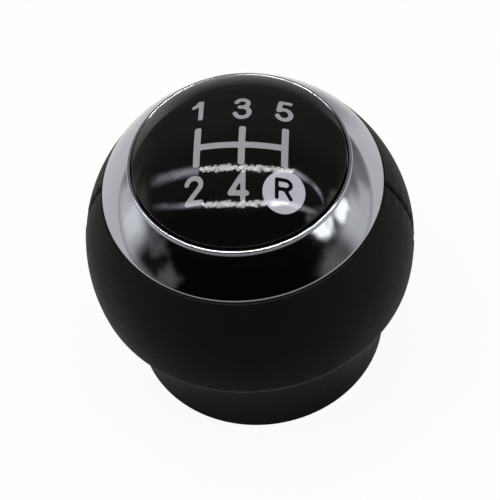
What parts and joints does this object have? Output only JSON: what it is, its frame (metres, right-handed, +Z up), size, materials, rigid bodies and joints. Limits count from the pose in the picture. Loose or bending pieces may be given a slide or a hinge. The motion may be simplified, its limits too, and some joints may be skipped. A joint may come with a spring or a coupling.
{
  "type": "gear shift knob",
  "caption": "Ball-shaped gear shift knob with leather skin, plated bezel ring, domed shift-pattern cap and tapered collar; screws onto a threaded lever.",
  "frame": {"origin": "centre of the collar's foot, on the lever's axis", "axes": "+Z up the lever's axis towards the pattern cap; -Y towards the driver, so that the pattern reads upright from there; +X to the driver's right"},
  "size_m": [0.052, 0.052, 0.0515],
  "materials": {
    "core_plastic": "fine matt moulded nylon, black",
    "insert_steel": "turned hexagon bar, zinc plated",
    "leather": "smooth black leather with a fine grain",
    "ring_chrome": "satin-bright plating",
    "cap_gloss": "gloss black with a printed shift pattern",
    "collar_plastic": "soft-touch black"
  },
  "bodies": {
    "root": {"core": "core_plastic", "threaded_insert": "insert_steel", "front_leather": "leather", "rear_leather": "leather", "bezel_ring": "ring_chrome", "pattern_cap": "cap_gloss", "collar": "collar_plastic"}
  },
  "joints": []
}
